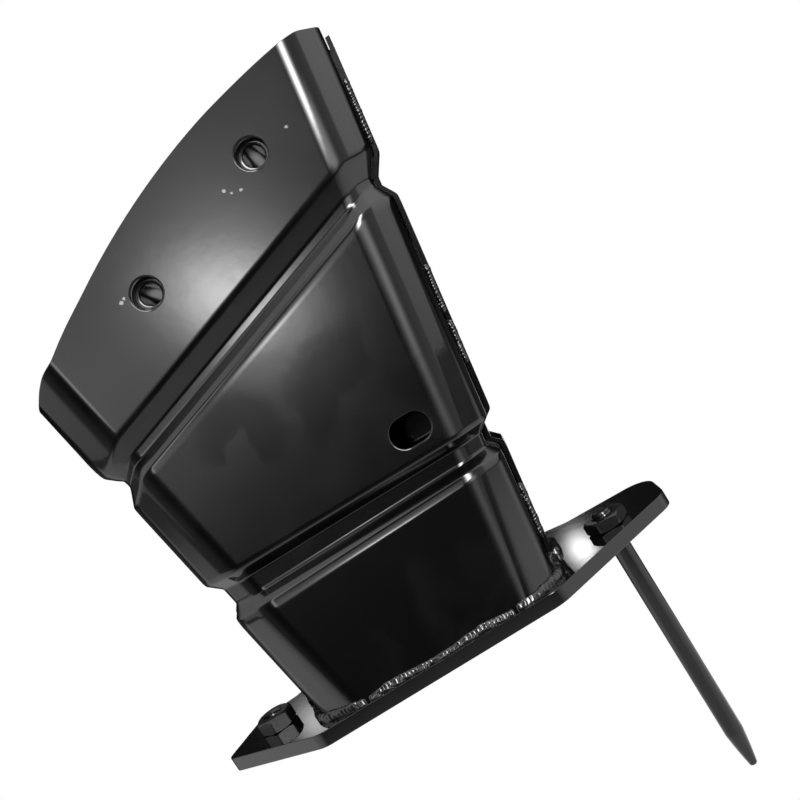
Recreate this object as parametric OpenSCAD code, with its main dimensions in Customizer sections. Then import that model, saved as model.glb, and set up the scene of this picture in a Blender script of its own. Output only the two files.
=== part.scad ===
// Bumper crush-box mounting bracket: two nested stamped shells with two crush
// beads, welded on an eared base plate that carries a long guide pin.
// Millimetres. Origin on the mounting face (underside of the base plate), below
// the middle of the box. +Z is the plate normal, towards the open end of the box;
// +X runs along the plate towards the ear with the guide pin; the front face of
// the box looks towards -Y. Left is -X, right is +X.

/* [Box shells] */
// lean of the box away from the plate normal, towards +Y (degrees)
lean = 11; // [8:1:13]
// half width of the box on the left at the base
left_base = 52.9; // [48:0.1:56]
// half width of the box on the right at the base
right_base = 51.7; // [48:0.1:56]
// outward flare of the left side, run over rise
left_flare = 0.198; // [0.12:0.002:0.24]
// outward flare of the right side, run over rise
right_flare = 0.1435; // [0.10:0.0005:0.20]
// front-to-back depth of the closed box
box_depth = 72; // [66:1:76]
// sheet thickness of both shells
sheet = 2; // [1.6:0.1:2.5]
// width of the chamfered band beside the flat face
band = 13.3; // [12:0.1:15]
// chamfer angle away from the flat face (degrees)
chamfer_angle = 35; // [30:1:40]
// depth of the crush beads
bead_depth = 4.6; // [3:0.1:5]
// rise of the crush beads per millimetre of depth, on the side walls
bead_rise = 0.085; // [0:0.005:0.12]
// extra outward flare of the upper left side, above the slanted bead
left_kick = 1.7; // [0:0.1:2.5]
// distance behind the front face where the rear shell lip starts
lap_start = 36; // [34:1:38]
// length of the lap between the two shells
lap_length = 9; // [6:1:12]
// step from the front shell side to the outside of the rear shell
lap_step = 2.4; // [2.3:0.05:3]

/* [Open end] */
// radius of the arc-cut open end
arc_r = 295; // [280:1:320]
// arc centre along X
arc_x = 111; // [105:1:117]
// arc centre height along the box
arc_z = -59; // [-64:1:-56]

/* [Face openings] */
// diameter of the two bolt openings in the front face
face_hole_d = 12.8; // [11:0.1:14]
// slot width in the middle panel
slot_w = 12; // [9:0.5:13]
// slot length in the middle panel
slot_l = 16.5; // [15:0.5:20]
// bore of the spacer sleeves and of the matching rear openings
sleeve_bore = 9; // [8:0.1:10]
// outside diameter of the spacer sleeves
sleeve_od = 15; // [14:0.5:17]
// gap between the front face and the near end of the sleeves
sleeve_setback = 8.5; // [4:0.5:12]

/* [Base plate] */
// plate thickness
plate_t = 6; // [5:0.5:8]
// clearance hole for the bolt below the left weld nut
ear_hole_d = 9; // [8.4:0.1:10]
// distance along X from the origin to the left ear hole
ear_left_x = -74; // [-76:0.5:-72]
// distance along Y from the guide pin line to the left ear hole
ear_left_y = -1.8; // [-3:0.1:1]
// distance along X from the origin to the guide pin
ear_right_x = 79.8; // [78:0.1:82]

/* [Guide pin and nuts] */
// shank diameter of the guide pin
pin_d = 8; // [7:0.1:9]
// pin length below the mounting face
pin_len = 113; // [90:1:125]
// hexagon width across flats of the weld nut on the left ear
nut_left_af = 14; // [13:0.5:15]
// height of the weld nut on the left ear
nut_left_h = 6; // [5:0.5:8]
// tapped bore of the weld nut on the left ear
nut_left_bore = 6.8; // [6:0.1:7.2]
// hexagon width across flats of the nut on the guide pin
nut_pin_af = 16; // [15:0.5:17]
// height of the nut on the guide pin
nut_pin_h = 5; // [4:0.5:8]

/* [Hidden] */
$fn = 64;
steel = [0.055, 0.055, 0.06];
light_steel = [0.075, 0.075, 0.08];
weld_grey = [0.11, 0.11, 0.115];

lean_slope = tan(lean);
face_y = -37;              // Y of the foot of the front face
// places in the front face: [x, height along the box]
hole_right = [37.5, 202.1];
hole_left = [-24.7, 177.8];
slot_centre = [34, 80.4];

face_fold_r = 18;          // outside radius between flat face and chamfer
side_fold_r = 9;           // outside radius between chamfer and side wall
face_fold_steps = 6;
side_fold_steps = 4;
face_columns = 9;          // points across the flat face, between the folds

pin_hole_d = 8.6;          // hole in the right ear and in the nut on the pin
nut_gap = 0.02;            // gap under both nuts

// ---- helpers
function flat(lists) = [for (list = lists) each list];
function reverse(list) = [for (i = [len(list) - 1:-1:0]) list[i]];
function last(list) = list[len(list) - 1];
function lerp(from, to, share) = from + (to - from) * share;
function clamp(value, low, high) = min(max(value, low), high);
function smooth(share) = let (s = clamp(share, 0, 1)) s * s * (3 - 2 * s);
function unit(vector) = vector / norm(vector);
function direction(angle) = [cos(angle), sin(angle)];
function arc(centre, radius, start, end, steps) =
  [for (i = [0:steps]) centre + radius * direction(lerp(start, end, i / steps))];

// ---- bodies from rings of equal point count
function tube_faces(count, size) = [for (j = [0:count - 2]) for (i = [0:size - 1])
  let (a = j * size + i, b = j * size + (i + 1) % size, c = a + size, d = b + size)
  each [[a, c, b], [b, c, d]]];

// folded sheet: each ring runs out along one skin and back along the other
module sheet_body(rings) {
  count = len(rings);
  size = len(rings[0]);
  bottom = [for (i = [0:size / 2 - 2])
    let (a = i, b = i + 1, c = size - 2 - i, d = size - 1 - i)
    each [[a, b, c], [a, c, d]]];
  top = [for (face = bottom) [for (corner = reverse(face)) corner + (count - 1) * size]];
  polyhedron(points = flat(rings), faces = concat(tube_faces(count, size), bottom, top),
             convexity = 10);
}

// rings with a convex outline
module swept_body(rings) {
  count = len(rings);
  size = len(rings[0]);
  end = (count - 1) * size;
  first_cap = [for (i = [1:size - 2]) [0, i, i + 1]];
  last_cap = [for (i = [1:size - 2]) [end, end + i + 1, end + i]];
  polyhedron(points = flat(rings), faces = concat(tube_faces(count, size), first_cap, last_cap),
             convexity = 4);
}

// ---- box frame: x as the part, y = depth behind the front face, z along the box
module box_frame() {
  translate([0, face_y, plate_t]) rotate([-lean, 0, 0]) children();
}

// height in the box frame where the box meets the plate, at depth y
function foot_z(y) = y * lean_slope;

// 0 below the slanted bead, 1 above it, on the left side
function above_bead(z) = smooth((z - 118) / 16);

// x of a side wall; side is -1 left or +1 right, step is the extra outward step
function side_x(side, z, step) = side < 0
  ? -(left_base + left_flare * z + step + left_kick * above_bead(z))
  : right_base + right_flare * z + step;

// extra width of the left chamfered band above the slanted bead
function widening(z, inset) = above_bead(z) * smooth((inset - 1) / 12);

// half section as [inset from the side, depth from the face], from the free lip
// of the side wall to the start of the flat face, moved inwards by offset
function half_section(offset, lip) =
  let (slope = tan(chamfer_angle),
       // chamfer line: depth = (band - inset) * slope + shift
       shift = offset / cos(chamfer_angle),
       face_r = max(face_fold_r - offset, 0.9),
       side_r = max(side_fold_r - offset, 1.6),
       face_inset = band + (shift - offset) / slope + face_r * tan(chamfer_angle / 2),
       side_depth = (band - offset) * slope + shift + side_r * tan((90 - chamfer_angle) / 2),
       middle = 270 - chamfer_angle)
  concat([[offset, lip], [offset, lerp(lip, side_depth, 0.5)]],
         arc([offset + side_r, side_depth], side_r, 180, middle, side_fold_steps),
         arc([face_inset, offset + face_r], face_r, middle, 270, face_fold_steps));

// ---- feature lines on the face, as heights over x
function level_bead_low(x) = 49.8 + 0.03 * x;
function level_bead_high(x) = 70.2 - 0.01 * x;
function left_drop(x) = 5 * smooth((-x - 62) / 14);
function slant_bead_low(x) = 137.3 + 0.327 * x - left_drop(x);
function slant_bead_high(x) = 160 + 0.343 * x - left_drop(x);
// the arc, with small departures towards both sides
function open_end(x) = arc_z + sqrt(arc_r * arc_r - (x - arc_x) * (x - arc_x))
  - 0.3 * smooth((x - 25) / 20)
  - 2.3 * smooth((x - 75) / 10)
  + smooth((-x - 45) / 20)
  + 2.3 * smooth((-x - 68) / 10)
  - 1.2 * smooth((-x - 80) / 6);

// ---- cross profile of a bead
// start and end of the bead floor, as shares of the bead's height
level_floor = [0.42, 0.68];
slant_floor = [0.38, 0.46];
ramp_steps = [0, 0.12, 0.26, 0.74, 0.88, 1];
round_share = 0.3;         // rounded share at each end of a ramp

// 0 to 1 with a straight middle and rounded ends
function ramp(share) = let (bend = 2 * round_share * (1 - round_share))
  share < round_share ? share * share / bend :
  share > 1 - round_share ? 1 - (1 - share) * (1 - share) / bend :
  (share - round_share / 2) / (1 - round_share);
// 0 at the bead's edges, 1 on its floor
function profile(share, floor_span) =
  share < floor_span[0] ? ramp(share / floor_span[0]) :
  share > floor_span[1] ? ramp((1 - share) / (1 - floor_span[1])) : 1;
function bead_steps(floor_span) = concat(
  [for (step = ramp_steps) step * floor_span[0]],
  [for (step = ramp_steps) lerp(floor_span[1], 1, step)]);

// ---- rows of points from the base to the open end: [zone, share of the zone's height]
FOOT = 0;
LOWER_PANEL = 1;
LEVEL_BEAD = 2;
MIDDLE_PANEL = 3;
SLANT_BEAD = 4;
UPPER_PANEL = 5;
rows = concat(
  [[FOOT, 0]],
  [for (share = [0.5, 0.93]) [LOWER_PANEL, share]],
  [for (share = bead_steps(level_floor)) [LEVEL_BEAD, share]],
  [for (share = [0.06, 0.5, 0.94]) [MIDDLE_PANEL, share]],
  [for (share = bead_steps(slant_floor)) [SLANT_BEAD, share]],
  [for (share = [0.08, 0.55, 1]) [UPPER_PANEL, share]]);

// height of a row; x is held for the beads so that the slanted one runs level on
// the right side wall, and the beads rise with depth on both side walls
function row_z(row, x, y) =
  let (zone = row[0], share = row[1],
       held_x = clamp(x, -85, 66),
       rise = bead_rise * max(0, y - 5))
  zone == FOOT ? foot_z(y) + 0.05 :
  zone == LOWER_PANEL ? lerp(foot_z(y), level_bead_low(held_x) + rise, share) :
  zone == LEVEL_BEAD ? rise + lerp(level_bead_low(held_x), level_bead_high(held_x), share) :
  zone == MIDDLE_PANEL ? rise + lerp(level_bead_high(held_x), slant_bead_low(held_x), share) :
  zone == SLANT_BEAD ? rise + lerp(slant_bead_low(held_x), slant_bead_high(held_x), share) :
  lerp(rise + slant_bead_high(held_x), open_end(x), share);

function row_offset(row) =
  row[0] == LEVEL_BEAD ? bead_depth * profile(row[1], level_floor) :
  row[0] == SLANT_BEAD ? bead_depth * profile(row[1], slant_floor) : 0;

// one point of a row; height and x depend on each other, so they are iterated
function settle(row, side, inset, y, step, z = 100, rounds = 5) =
  let (x = side_x(side, z, step) - side * (inset + (side < 0 ? widening(z, inset) : 0)),
       next_z = row_z(row, x, y))
  rounds == 0 ? [x, y, next_z] : settle(row, side, inset, y, step, next_z, rounds - 1);

// one skin of a row, left lip to right lip; the rear shell is the same section
// turned round and stepped out by the lap
function row_points(row, offset, rear) =
  let (half = half_section(offset, rear ? box_depth - lap_start : lap_start + lap_length),
       step = rear ? lap_step : 0,
       face_depth = rear ? box_depth - offset : offset,
       sides = [for (side = [-1, 1]) [for (point = half)
         settle(row, side, point[0], rear ? box_depth - point[1] : point[1], step)]],
       left_x = last(sides[0])[0],
       right_x = last(sides[1])[0],
       face = [for (i = [1:face_columns])
         let (x = lerp(left_x, right_x, i / (face_columns + 1)))
         [x, face_depth, row_z(row, x, face_depth)]])
  concat(sides[0], face, reverse(sides[1]));

function shell_ring(row, rear) =
  let (offset = row_offset(row),
       outer = row_points(row, offset, rear),
       inner = row_points(row, offset + sheet, rear))
  rear ? concat(inner, reverse(outer)) : concat(outer, reverse(inner));

// ---- shells
// cylinder along the depth of the box, starting at depth y
module depth_cutter(place, y, d, h) {
  translate([place[0], y, place[1]]) rotate([-90, 0, 0]) cylinder(d = d, h = h);
}

module slot_cut() {
  half = (slot_l - slot_w) / 2;
  for (side = [-1, 1])
    depth_cutter(slot_centre + [side * half, 0], y = -3, d = slot_w, h = 9);
  translate([slot_centre[0] - half, -3, slot_centre[1] - slot_w / 2])
    cube([2 * half, 9, slot_w]);
}

module front_shell() {
  color(steel) box_frame() difference() {
    sheet_body([for (row = rows) shell_ring(row, rear = false)]);
    for (hole = [hole_right, hole_left])
      depth_cutter(hole, y = -3, d = face_hole_d, h = 12);
    slot_cut();
  }
}

module rear_shell() {
  color(light_steel) box_frame() difference() {
    sheet_body([for (row = rows) shell_ring(row, rear = true)]);
    for (hole = [hole_right, hole_left])
      depth_cutter(hole, y = box_depth - 6, d = sleeve_bore, h = 12);
  }
}

// ---- spacer sleeves behind the two bolt openings
module sleeve(hole) {
  rear_gap = 0.05;
  box_frame() translate([hole[0], sleeve_setback, hole[1]]) rotate([-90, 0, 0]) difference() {
    cylinder(d = sleeve_od, h = box_depth - sheet - sleeve_setback - rear_gap);
    translate([0, 0, -1]) cylinder(d = sleeve_bore, h = box_depth);
  }
}
module sleeve_right() { color(light_steel) sleeve(hole_right); }
module sleeve_left() { color(light_steel) sleeve(hole_left); }

// ---- base plate
// outline corners: [x, distance behind the foot of the front face, corner radius]
plate_outline = [
  [-57, -1.5, 10], [49.5, -1.5, 14], [105.8, 36.5, 9], [104.4, 67.6, 13], [66, 72.2, 10],
  [55, 77.5, 6], [-56, 77.5, 6], [-65, 60.5, 6], [-84, 57, 12], [-98.8, 32, 4]];

// arc that rounds the corner at point, between its two neighbours
function rounded_corner(before, point, after, radius, steps) =
  let (to_before = unit(before - point), to_after = unit(after - point),
       half_angle = acos(to_before * to_after) / 2,
       tangent = radius / tan(half_angle),
       centre = point + unit(to_before + to_after) * (radius / sin(half_angle)),
       from = point + to_before * tangent - centre,
       to = point + to_after * tangent - centre,
       start = atan2(from[1], from[0]),
       turn = atan2(to[1], to[0]) - start,
       sweep = turn > 180 ? turn - 360 : turn < -180 ? turn + 360 : turn)
  arc(centre, radius, start, start + sweep, steps);

function rounded(corners, steps) =
  let (count = len(corners), points = [for (corner = corners) [corner[0], corner[1]]])
  flat([for (i = [0:count - 1])
    rounded_corner(points[(i + count - 1) % count], points[i], points[(i + 1) % count],
                   corners[i][2], steps)]);

module base_plate() {
  color(steel) difference() {
    translate([0, face_y, 0]) linear_extrude(plate_t) polygon(rounded(plate_outline, 7));
    translate([ear_left_x, ear_left_y, -1]) cylinder(d = ear_hole_d, h = plate_t + 2);
    translate([ear_right_x, 0, -1]) cylinder(d = pin_hole_d, h = plate_t + 2);
  }
}

// ---- nuts on the ears
module hex_nut(flats, height, bore) {
  corners = flats / cos(30);
  chamfer = 1.1;           // height of the chamfer on the upper corners
  difference() {
    intersection() {
      cylinder(d = corners, h = height, $fn = 6);
      union() {
        cylinder(d = corners + 1, h = height - chamfer);
        translate([0, 0, height - chamfer])
          cylinder(d1 = corners + 1.4, d2 = flats - 0.9, h = chamfer);
      }
    }
    translate([0, 0, -1]) cylinder(d = bore, h = height + 2);
    translate([0, 0, height - 0.7]) cylinder(d1 = bore, d2 = bore + 1.6, h = 0.8);
  }
}
module ear_nut_left() {
  color(light_steel) translate([ear_left_x, ear_left_y, plate_t + nut_gap])
    rotate([0, 0, -13]) hex_nut(nut_left_af, nut_left_h, nut_left_bore);
}
module ear_nut_right() {
  color(light_steel) translate([ear_right_x, 0, plate_t + nut_gap])
    rotate([0, 0, 30]) hex_nut(nut_pin_af, nut_pin_h, pin_hole_d);
}

// ---- guide pin: bullet nose, plain shank, slightly larger screwed end
module guide_pin() {
  shank_r = pin_d / 2;
  screw_r = 4.25;
  top = plate_t + nut_pin_h + 2;
  top_chamfer = 0.8;
  taper_start = 17;        // above the pin's tip
  tip_r = 1.75;
  tip_h = 1.2;
  tip_z = -pin_len + tip_h;
  color(steel) translate([ear_right_x, 0, 0]) rotate_extrude() polygon(concat(
    [[0, top], [screw_r - top_chamfer, top], [screw_r, top - top_chamfer],
     [screw_r, -1.4], [shank_r, -2.2], [shank_r, -pin_len + taper_start], [tip_r, tip_z]],
    [for (i = [0:4]) let (angle = lerp(10, 90, i / 4))
      [tip_r * cos(angle), tip_z - tip_h * sin(angle)]]));
}

// ---- base weld beads round the foot of the box
weld_gap = 0.06;           // gap between bead and shell
flat_end_gap = 0.6;        // gap between the ends of a straight bead and the folds
foot_section = half_section(0, lap_start - 0.4);
flat_inset = last(foot_section)[0];   // inset where the flat face starts

// point of the box frame's foot outline, as x and y of the part
function foot(x, y) = [x, y / cos(lean) + face_y];

// x range of a straight bead along the flat face
function flat_span(z, step) =
  [for (side = [-1, 1]) side_x(side, z, step) - side * (flat_inset + flat_end_gap)];

// direction up the shell at a foot point facing the given angle
function wall_direction(angle) =
  unit([(cos(angle) > 0 ? right_flare : left_flare) * cos(angle), lean_slope, 1]);
face_wall = unit([0, lean_slope, 1]);

// section of a bead: from the wall out along the plate, then back up to the wall
function weld_ring(place, facing, wall, width, height) =
  let (base = [place[0], place[1], plate_t], out = [facing[0], facing[1], 0],
       gap = 0.03, lift = [0, 0, gap])
  [base + out * gap + lift,
   base + out * width + lift,
   base + out * width * 0.93 + [0, 0, 0.3 * height],
   base + out * width * 0.6 + wall * height * 0.68,
   base + out * (0.16 * width + gap) + wall * height];

// height factor along the front bead, with two heavy runs
function front_lump(x) = 1 + 0.55 * exp(-pow((x + 22) / 9, 2))
  + 0.6 * exp(-pow((x - 17) / 9, 2)) + 0.12 * sin(x * 47);

module base_weld_front() {
  span = flat_span(0, 0);
  steps = 40;
  color(weld_grey) swept_body([for (i = [0:steps])
    let (x = lerp(span[0], span[1], i / steps))
    weld_ring(foot(x, 0) - [0, weld_gap / 2], [0, -1], face_wall,
              width = 1.25, height = 2.1 * front_lump(x))]);
}

// facing angle of the i-th foot section point
function facing_angle(i, side) =
  let (middle = 270 - chamfer_angle,
       left = i < 2 ? 180 :
         i <= 2 + side_fold_steps ? lerp(180, middle, (i - 2) / side_fold_steps) :
         lerp(middle, 270, (i - 3 - side_fold_steps) / face_fold_steps))
  side < 0 ? left : 540 - left;

// round one front corner and along the side of the front shell
module corner_weld(side) {
  start = len(foot_section) - 1;
  color(weld_grey) swept_body([for (i = [start:-1:1])
    let (inset = foot_section[i][0], y = foot_section[i][1],
         angle = facing_angle(i, side),
         out = direction(angle),
         x = side_x(side, foot_z(y), 0) - side * inset,
         ring = weld_ring(foot(x, y) + weld_gap * out, out, wall_direction(angle),
                          width = lerp(1.25, 3.2, (start - i) / (start - 1)), height = 2.8))
    side < 0 ? ring : reverse(ring)]);
}
module base_weld_corner_left() { corner_weld(-1); }
module base_weld_corner_right() { corner_weld(1); }

// along the side wall of the rear shell
module side_weld(side) {
  steps = 12;
  color(weld_grey) swept_body([for (i = [0:steps])
    let (y = lerp(lap_start + 0.5, box_depth - 17, i / steps),
         x = side_x(side, foot_z(y), lap_step),
         lump = 1 + 0.12 * sin(i * 97),
         ring = weld_ring(foot(x, y) + [side * weld_gap, 0], [side, 0],
                          wall_direction(side < 0 ? 180 : 0),
                          width = 3.1 * lump, height = 3.2 * lump))
    side < 0 ? reverse(ring) : ring]);
}
module base_weld_side_left() { side_weld(-1); }
module base_weld_side_right() { side_weld(1); }

// along the foot of the rear face
module base_weld_rear() {
  span = flat_span(foot_z(box_depth), lap_step);
  steps = 30;
  color(weld_grey) swept_body([for (i = [0:steps])
    let (x = lerp(span[0], span[1], i / steps),
         lump = 1 + 0.12 * sin(i * 83))
    reverse(weld_ring(foot(x, box_depth) + [0, weld_gap], [0, 1], face_wall,
                      width = 3 * lump, height = 3 * lump))]);
}

// ---- seam stitch beads in front of the rear shell's lip
// [start height, end height, size]
right_stitches = [[91, 110, 2.7], [113, 134, 2.7], [186, 214, 2.5], [16, 40, 2.5]];
left_stitches = [[78, 104, 2.6], [134, 152, 2.5], [16, 40, 2.5]];

module seam_bead(side, stitch) {
  steps = 12;
  gap = 0.05;
  y = lap_start - gap;
  box_frame() swept_body([for (i = [0:steps])
    let (z = lerp(stitch[0], stitch[1], i / steps),
         bulge = sin(180 * clamp(i / steps, 0.04, 0.96)),
         size = stitch[2] * (0.45 + 0.55 * sqrt(bulge)) * (1 + 0.08 * sin(i * 131)),
         x = side_x(side, z, 0) + side * gap,
         out = side * lap_step,
         ring = [[x, y, z],
                 [x + out * 0.9, y, z],
                 [x + out * 0.8, y - size * 0.55, z],
                 [x + out * 0.35, y - size * 0.95, z],
                 [x, y - size, z]])
    side < 0 ? reverse(ring) : ring]);
}
module seam_weld_right() {
  color(weld_grey) for (stitch = right_stitches) seam_bead(1, stitch);
}
module seam_weld_left() {
  color(weld_grey) for (stitch = left_stitches) seam_bead(-1, stitch);
}

front_shell();
rear_shell();
base_plate();
guide_pin();
ear_nut_left();
ear_nut_right();
sleeve_left();
sleeve_right();
base_weld_front();
base_weld_corner_left();
base_weld_corner_right();
base_weld_side_left();
base_weld_side_right();
base_weld_rear();
seam_weld_left();
seam_weld_right();
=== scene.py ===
"""Bumper crush-box bracket in glossy black coating: two lapped, beaded sheet
shells welded to a base plate, with two sleeves through the box, a nut on each
ear of the plate and a guide pin hanging below the right ear.

Part frame: x along the plate, z up, y away from the camera. Box frame: the same
leaned back by LEAN, with x along the plate, y into the box and z up the front
face. Left is -x. Lengths are millimetres; meshes and shaders are in metres."""

import math

import bmesh
import bpy
import numpy as np
from mathutils import Matrix, Vector


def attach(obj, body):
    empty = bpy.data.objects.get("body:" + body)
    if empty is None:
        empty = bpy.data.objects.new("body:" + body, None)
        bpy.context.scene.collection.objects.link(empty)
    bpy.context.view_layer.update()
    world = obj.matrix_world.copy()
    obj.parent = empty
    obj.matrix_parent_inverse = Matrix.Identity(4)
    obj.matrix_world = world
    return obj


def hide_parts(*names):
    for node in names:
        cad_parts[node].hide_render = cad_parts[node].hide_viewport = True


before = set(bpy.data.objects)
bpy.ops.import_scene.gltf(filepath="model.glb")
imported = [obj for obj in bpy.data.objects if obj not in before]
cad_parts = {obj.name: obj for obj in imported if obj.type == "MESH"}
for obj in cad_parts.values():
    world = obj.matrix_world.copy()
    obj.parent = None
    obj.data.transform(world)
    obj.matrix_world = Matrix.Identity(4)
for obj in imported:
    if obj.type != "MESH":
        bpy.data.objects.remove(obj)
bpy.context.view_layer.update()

# ------------------------------------------------------------------ dimensions
MM = 0.001
LEFT, RIGHT = -1, 1
LEAN = math.radians(11.0)
COS_LEAN, SIN_LEAN, TAN_LEAN = math.cos(LEAN), math.sin(LEAN), math.tan(LEAN)

# box: half widths at the foot, growth of each per z, depth and sheet
LEFT_BASE, RIGHT_BASE = 52.9, 51.7
LEFT_FLARE, RIGHT_FLARE = 0.198, 0.1435
LEFT_KICK, KICK_START, KICK_LENGTH = 1.7, 118, 16      # the left wall steps out here
DEPTH, SHEET = 72.0, 2.0
BAND = 13.3                         # width of the chamfer between side wall and face
CHAMFER = math.radians(35.0)
FOLD_RADIUS, SIDE_RADIUS = 18.0, 9.0
LAP_START, LAP_LENGTH, LAP_STEP = 36.0, 9.0, 2.4       # the rear shell laps over the front
BEAD_DEPTH, BEAD_RISE = 4.6, 0.085                     # rise per y, from BEAD_RISE_START
BEAD_RISE_START = 5
BEAD_X_RANGE = (-85, 66)                               # bead lines stay level beyond this

# bead edges: z at x = 0, rise per x
LOWER_EDGES = ((49.9, 0.03), (71.0, -0.01))
UPPER_EDGES = ((135.3, 0.327), (160.8, 0.343))
UPPER_DROP, DROP_START, DROP_LENGTH = 5, 62, 14        # of the upper bead, at the left

# open upper end: an arc, trimmed by (rise, side, start, length) along that side
ARC_RADIUS, ARC_X, ARC_Z = 295.0, 111.0, -59.0
END_TRIM = [(-0.3, RIGHT, 25, 20), (-2.3, RIGHT, 75, 10),
            (1.0, LEFT, 45, 20), (2.3, LEFT, 68, 10), (-1.2, LEFT, 80, 6)]

# openings in the front face, (x, z)
HOLE_RIGHT, HOLE_LEFT, SLOT = (37.5, 202.1), (-24.7, 177.8), (34.0, 80.4)
HOLE_D, SLOT_WIDTH, SLOT_LENGTH = 12.8, 12.0, 16.5
ROLL_OVER, ROLL_REACH = 0.75, 9.5
SLEEVE_BORE, SLEEVE_OD, SLEEVE_SET = 9.0, 15.0, 8.5

# base plate, corners as (x, y, radius) from the foot of the front face
PLATE_Y, PLATE_T = -37.0, 6.0
PLATE_CORNERS = [(-57, -1.5, 10), (49.5, -1.5, 14), (105.8, 36.5, 9), (104.4, 67.6, 13),
                 (66, 72.2, 10), (55, 77.5, 6), (-56, 77.5, 6), (-65, 60.5, 6),
                 (-84, 57, 12), (-98.8, 32, 4)]
EAR_LEFT, EAR_RIGHT = (-74.0, -1.8), (79.8, 0.0)       # part frame x, y
EAR_LEFT_R, EAR_RIGHT_R = 4.5, 4.3

# nuts and pin
THREAD_PITCH = 1.25
NUT_LEFT = dict(flats=14, height=6, bore=6.8, turn=17)
NUT_RIGHT = dict(flats=16, height=5, bore=8.6, turn=0)
NUT_GAP = 0.02
PIN_TIP, PIN_R, PIN_THREAD_R, PIN_PROUD = -113, 4.0, 4.25, 2.0
NOSE_R, NOSE_LENGTH = 1.75, 1.2
TAPER_LENGTH, TAPER_BULGE = 15.8, 0.16

# seam weld runs up each side wall: z from, z to, reach towards the front
SEAM_RIGHT = [(91, 110, 2.7), (113, 134, 2.7), (186, 214, 2.5), (16, 40, 2.5)]
SEAM_LEFT = [(78, 104, 2.6), (134, 152, 2.5), (16, 40, 2.5)]
# lumps along the front weld: x, spread, extra height
FRONT_LUMPS = [(-22, 9, 0.55), (17, 9, 0.6)]


def smooth(t):
    t = np.clip(t, 0.0, 1.0)
    return t * t * (3 - 2 * t)


def to_part(points):
    """Box frame, millimetres, to the part frame in metres."""
    points = np.asarray(points, float)
    x, y, z = points[..., 0], points[..., 1], points[..., 2]
    return np.stack([x, y * COS_LEAN + z * SIN_LEAN + PLATE_Y,
                     -y * SIN_LEAN + z * COS_LEAN + PLATE_T], -1) * MM


def kick(z):
    return smooth((z - KICK_START) / KICK_LENGTH)


def wall_x(side, z, lap=0.0):
    """Outer x of a side wall at height z."""
    if side < 0:
        return -(LEFT_BASE + LEFT_FLARE * z + lap + LEFT_KICK * kick(z))
    return RIGHT_BASE + RIGHT_FLARE * z + lap


# ------------------------------------------------------------------ shell rows
FOOT, LOWER_PANEL, LOWER_BEAD, MIDDLE_PANEL, UPPER_BEAD, UPPER_PANEL, OPEN_END = range(7)


def slope_curve(knots, n=400):
    """Wall depth 0..1 over 0..1 from (place, relative slope), so the folds run out softly."""
    place = np.linspace(0, 1, n)
    slope = np.interp(place, [k[0] for k in knots], [k[1] for k in knots])
    depth = np.concatenate([[0], np.cumsum((slope[1:] + slope[:-1]) / 2)])
    return place, depth / depth[-1]


# per bead: floor start and end as fractions, lower wall, upper wall
BEADS = {
    LOWER_BEAD: ((0.45, 0.68),
                 slope_curve([(0, 0), (0.1, 0.088), (0.36, 0.142), (0.47, 1), (0.8, 1),
                              (0.87, 0.15), (0.98, 0.09), (1, 0)]),
                 slope_curve([(0, 0), (0.12, 0.06), (0.28, 0.3), (0.4, 1), (0.84, 1),
                              (0.95, 0.15), (1, 0)])),
    UPPER_BEAD: ((0.45, 0.52),
                 slope_curve([(0, 0), (0.15, 0.03), (0.3, 0.1), (0.43, 1), (0.85, 1),
                              (0.92, 0.14), (1, 0)]),
                 slope_curve([(0, 0), (0.1, 0.05), (0.22, 0.25), (0.32, 1), (0.86, 1),
                              (0.95, 0.15), (1, 0)])),
}
WALL_STEPS = [0.0, 0.05, 0.1, 0.16, 0.22, 0.27, 0.32, 0.36, 0.4, 0.44, 0.64, 0.84, 0.88,
              0.91, 0.94, 0.97, 1.0]


def bead_steps(kind):
    start, end = BEADS[kind][0]
    return ([start * u for u in WALL_STEPS] + [(start + end) / 2]
            + [1 - (1 - end) * u for u in reversed(WALL_STEPS)])


# rows of the shell from foot to open end: kind, fractions through that zone
ROW_STEPS = [
    (FOOT, [0.0]),
    (LOWER_PANEL, [0.03, 0.2, 0.4, 0.6, 0.8, 0.96]),
    (LOWER_BEAD, bead_steps(LOWER_BEAD)),
    (MIDDLE_PANEL, [0.02, 0.12, 0.24, 0.36, 0.48, 0.6, 0.72, 0.84, 0.94, 0.985]),
    (UPPER_BEAD, bead_steps(UPPER_BEAD)),
    (UPPER_PANEL, [0.015, 0.06, 0.14, 0.26, 0.4, 0.55, 0.7, 0.85]),
    (OPEN_END, [1.0]),
]


def bead_inset(kind, t):
    """How far a row is pressed into the box."""
    if kind not in BEADS:
        return 0.0
    (start, end), lower_wall, upper_wall = BEADS[kind]
    if t < start:
        return BEAD_DEPTH * float(np.interp(t / start, *lower_wall))
    if t > end:
        return BEAD_DEPTH * float(np.interp((1 - t) / (1 - end), *upper_wall))
    return BEAD_DEPTH * 1.0


def open_end(x):
    z = ARC_Z + np.sqrt(ARC_RADIUS ** 2 - (x - ARC_X) ** 2)
    for rise, side, start, length in END_TRIM:
        z = z + rise * smooth((side * x - start) / length)
    return z


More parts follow.
